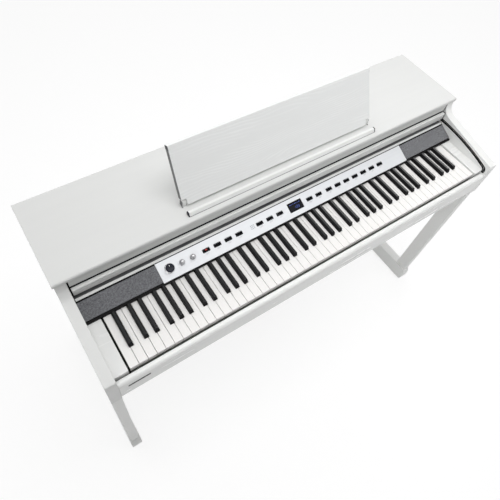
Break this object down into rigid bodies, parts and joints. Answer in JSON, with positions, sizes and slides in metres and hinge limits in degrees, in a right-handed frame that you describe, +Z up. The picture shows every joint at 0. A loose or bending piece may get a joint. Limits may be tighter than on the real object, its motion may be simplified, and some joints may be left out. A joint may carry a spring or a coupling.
{
  "type": "digital piano",
  "caption": "White home digital piano on its own stand, with a full weighted keyboard, sliding key cover, folding music board, sloping control panel and three pedals.",
  "frame": {"origin": "on the floor, under the middle of the whole instrument's width and depth", "axes": "+X to the player's right, +Y away from the player, +Z up"},
  "size_m": [1.368, 0.5, 0.9972],
  "materials": {
    "white_wood": "satin white paint on board",
    "white_gloss": "glossy white paint on board",
    "board_white": "white, with an embossed grain",
    "glide_rubber": "matte",
    "pedal_brass": "polished",
    "black_plastic": "fine matte",
    "panel_silver": "brushed and anodised",
    "grille_cloth": "woven, heathered grey",
    "display_face": "glossy black window",
    "knob_silver": "metallised",
    "stay_steel": "dark satin paint",
    "chassis_steel": "zinc plated",
    "speaker_black": "matte",
    "circuit_green": "solder mask",
    "white_key": "satin white",
    "black_key": "satin black"
  },
  "bodies": {
    "case": {"side_left": "white_wood", "side_right": "white_wood", "leg_left": "white_wood", "leg_right": "white_wood", "foot_left": "white_wood", "foot_right": "white_wood", "rear_leg_left": "white_wood", "rear_leg_right": "white_wood", "glides": "glide_rubber", "modesty_panel": "white_wood", "pedal_box": "white_wood", "key_bed": "white_wood", "key_slip": "white_gloss", "cheek_left": "white_gloss", "cheek_right": "white_gloss", "lid": "white_gloss", "fascia": "white_gloss", "back_panel": "white_wood", "jack_panel": "black_plastic", "panel_frame": "black_plastic", "control_panel": "panel_silver", "panel_trim": "white_gloss", "grille_left": "grille_cloth", "grille_right": "grille_cloth", "display": "display_face", "rest_ledge": "white_gloss", "rest_hinge": "white_gloss", "key_frame": "chassis_steel", "speakers": "speaker_black", "circuit_board": "circuit_green"},
    "cover": {"key_cover": "white_gloss", "cover_lip": "white_gloss"},
    "board": {"music_board": "board_white"},
    "stay": {"rest_stay": "stay_steel"},
    "pedal_left": {"pedal_left": "pedal_brass"},
    "pedal_middle": {"pedal_middle": "pedal_brass"},
    "pedal_right": {"pedal_right": "pedal_brass"},
    "volume_knob": {"volume_knob": "knob_silver"},
    "tone_knob_left": {"tone_knob_left": "knob_silver"},
    "tone_knob_right": {"tone_knob_right": "knob_silver"},
    "buttons_function": {"buttons_function": "black_plastic"},
    "buttons_transport": {"buttons_transport": "black_plastic"},
    "buttons_select": {"buttons_select": "black_plastic"},
    "buttons_voice": {"buttons_voice": "black_plastic"},
    "key_c": {"key_c": "white_key"},
    "key_c_sharp": {"key_c_sharp": "black_key"},
    "key_d": {"key_d": "white_key"},
    "key_d_sharp": {"key_d_sharp": "black_key"},
    "key_e": {"key_e": "white_key"},
    "key_f": {"key_f": "white_key"},
    "key_f_sharp": {"key_f_sharp": "black_key"},
    "key_g": {"key_g": "white_key"},
    "key_g_sharp": {"key_g_sharp": "black_key"},
    "key_a": {"key_a": "white_key"},
    "key_a_sharp": {"key_a_sharp": "black_key"},
    "key_b": {"key_b": "white_key"},
    "white_keys_low": {"white_keys_low": "white_key"},
    "black_keys_low": {"black_keys_low": "black_key"},
    "white_keys_high": {"white_keys_high": "white_key"},
    "black_keys_high": {"black_keys_high": "black_key"}
  },
  "joints": [
    {"name": "cover_slide", "type": "hinge", "parent": "case", "child": "cover", "pos_m": [0, -0.011, 0.09], "axis": [1, 0, 0], "range_deg": [0, 18.33]},
    {"name": "board_fold", "type": "hinge", "parent": "case", "child": "board", "pos_m": [0, 0.046, 0.8555], "axis": [-1, 0, 0], "range_deg": [0, 62]},
    {"name": "stay_fold", "type": "hinge", "parent": "board", "child": "stay", "pos_m": [0, 0.08306, 0.9062], "axis": [1, 0, 0], "range_deg": [0, 115.04]},
    {"name": "pedal_left_press", "type": "hinge", "parent": "case", "child": "pedal_left", "pos_m": [-0.072, 0.126, 0.06], "axis": [1, 0, 0], "range_deg": [0, 7], "stiffness_Nm_per_rad": 20, "springref_deg": -8.59},
    {"name": "pedal_middle_press", "type": "hinge", "parent": "case", "child": "pedal_middle", "pos_m": [0, 0.126, 0.06], "axis": [1, 0, 0], "range_deg": [0, 7], "stiffness_Nm_per_rad": 20, "springref_deg": -8.59},
    {"name": "pedal_right_press", "type": "hinge", "parent": "case", "child": "pedal_right", "pos_m": [0.072, 0.126, 0.06], "axis": [1, 0, 0], "range_deg": [0, 7], "stiffness_Nm_per_rad": 20, "springref_deg": -8.59},
    {"name": "volume_knob_turn", "type": "hinge", "parent": "case", "child": "volume_knob", "pos_m": [-0.4125, -0.05156, 0.74713], "axis": [0, -0.4008, 0.9162], "range_deg": [-140, 140]},
    {"name": "tone_knob_left_turn", "type": "hinge", "parent": "case", "child": "tone_knob_left", "pos_m": [-0.376, -0.05156, 0.74713], "axis": [0, -0.4008, 0.9162], "range_deg": [-140, 140]},
    {"name": "tone_knob_right_turn", "type": "hinge", "parent": "case", "child": "tone_knob_right", "pos_m": [-0.3435, -0.05156, 0.74713], "axis": [0, -0.4008, 0.9162], "range_deg": [-140, 140]},
    {"name": "buttons_function_press", "type": "slide", "parent": "case", "child": "buttons_function", "axis": [0, 0.4008, -0.9162], "range_m": [0, 0.0015], "stiffness_N_per_m": 1200, "springref_m": -0.002},
    {"name": "buttons_transport_press", "type": "slide", "parent": "case", "child": "buttons_transport", "axis": [0, 0.4008, -0.9162], "range_m": [0, 0.0015], "stiffness_N_per_m": 900, "springref_m": -0.002},
    {"name": "buttons_select_press", "type": "slide", "parent": "case", "child": "buttons_select", "axis": [0, 0.4008, -0.9162], "range_m": [0, 0.0015], "stiffness_N_per_m": 600, "springref_m": -0.002},
    {"name": "buttons_voice_press", "type": "slide", "parent": "case", "child": "buttons_voice", "axis": [0, 0.4008, -0.9162], "range_m": [0, 0.0015], "stiffness_N_per_m": 2100, "springref_m": -0.002},
    {"name": "white_keys_low_press", "type": "hinge", "parent": "case", "child": "white_keys_low", "pos_m": [0, -0.005, 0.714], "axis": [1, 0, 0], "range_deg": [0, 2.61], "stiffness_Nm_per_rad": 23, "springref_deg": -11.46},
    {"name": "black_keys_low_press", "type": "hinge", "parent": "case", "child": "black_keys_low", "pos_m": [0, -0.005, 0.714], "axis": [1, 0, 0], "range_deg": [0, 2.61], "stiffness_Nm_per_rad": 16, "springref_deg": -11.46},
    {"name": "white_keys_high_press", "type": "hinge", "parent": "case", "child": "white_keys_high", "pos_m": [0, -0.005, 0.714], "axis": [1, 0, 0], "range_deg": [0, 2.61], "stiffness_Nm_per_rad": 22, "springref_deg": -11.46},
    {"name": "black_keys_high_press", "type": "hinge", "parent": "case", "child": "black_keys_high", "pos_m": [0, -0.005, 0.714], "axis": [1, 0, 0], "range_deg": [0, 2.61], "stiffness_Nm_per_rad": 15, "springref_deg": -11.46},
    {"name": "key_c_press", "type": "hinge", "parent": "case", "child": "key_c", "pos_m": [0, -0.005, 0.714], "axis": [1, 0, 0], "range_deg": [0, 2.61], "stiffness_Nm_per_rad": 1, "springref_deg": -11.46},
    {"name": "key_c_sharp_press", "type": "hinge", "parent": "case", "child": "key_c_sharp", "pos_m": [0, -0.005, 0.714], "axis": [1, 0, 0], "range_deg": [0, 2.61], "stiffness_Nm_per_rad": 1, "springref_deg": -11.46},
    {"name": "key_d_press", "type": "hinge", "parent": "case", "child": "key_d", "pos_m": [0, -0.005, 0.714], "axis": [1, 0, 0], "range_deg": [0, 2.61], "stiffness_Nm_per_rad": 1, "springref_deg": -11.46},
    {"name": "key_d_sharp_press", "type": "hinge", "parent": "case", "child": "key_d_sharp", "pos_m": [0, -0.005, 0.714], "axis": [1, 0, 0], "range_deg": [0, 2.61], "stiffness_Nm_per_rad": 1, "springref_deg": -11.46},
    {"name": "key_e_press", "type": "hinge", "parent": "case", "child": "key_e", "pos_m": [0, -0.005, 0.714], "axis": [1, 0, 0], "range_deg": [0, 2.61], "stiffness_Nm_per_rad": 1, "springref_deg": -11.46},
    {"name": "key_f_press", "type": "hinge", "parent": "case", "child": "key_f", "pos_m": [0, -0.005, 0.714], "axis": [1, 0, 0], "range_deg": [0, 2.61], "stiffness_Nm_per_rad": 1, "springref_deg": -11.46},
    {"name": "key_f_sharp_press", "type": "hinge", "parent": "case", "child": "key_f_sharp", "pos_m": [0, -0.005, 0.714], "axis": [1, 0, 0], "range_deg": [0, 2.61], "stiffness_Nm_per_rad": 1, "springref_deg": -11.46},
    {"name": "key_g_press", "type": "hinge", "parent": "case", "child": "key_g", "pos_m": [0, -0.005, 0.714], "axis": [1, 0, 0], "range_deg": [0, 2.61], "stiffness_Nm_per_rad": 1, "springref_deg": -11.46},
    {"name": "key_g_sharp_press", "type": "hinge", "parent": "case", "child": "key_g_sharp", "pos_m": [0, -0.005, 0.714], "axis": [1, 0, 0], "range_deg": [0, 2.61], "stiffness_Nm_per_rad": 1, "springref_deg": -11.46},
    {"name": "key_a_press", "type": "hinge", "parent": "case", "child": "key_a", "pos_m": [0, -0.005, 0.714], "axis": [1, 0, 0], "range_deg": [0, 2.61], "stiffness_Nm_per_rad": 1, "springref_deg": -11.46},
    {"name": "key_a_sharp_press", "type": "hinge", "parent": "case", "child": "key_a_sharp", "pos_m": [0, -0.005, 0.714], "axis": [1, 0, 0], "range_deg": [0, 2.61], "stiffness_Nm_per_rad": 1, "springref_deg": -11.46},
    {"name": "key_b_press", "type": "hinge", "parent": "case", "child": "key_b", "pos_m": [0, -0.005, 0.714], "axis": [1, 0, 0], "range_deg": [0, 2.61], "stiffness_Nm_per_rad": 1, "springref_deg": -11.46}
  ],
  "couplings": [
    {"joint": "stay_fold", "follows": "board_fold", "ratio": 1.8555}
  ]
}
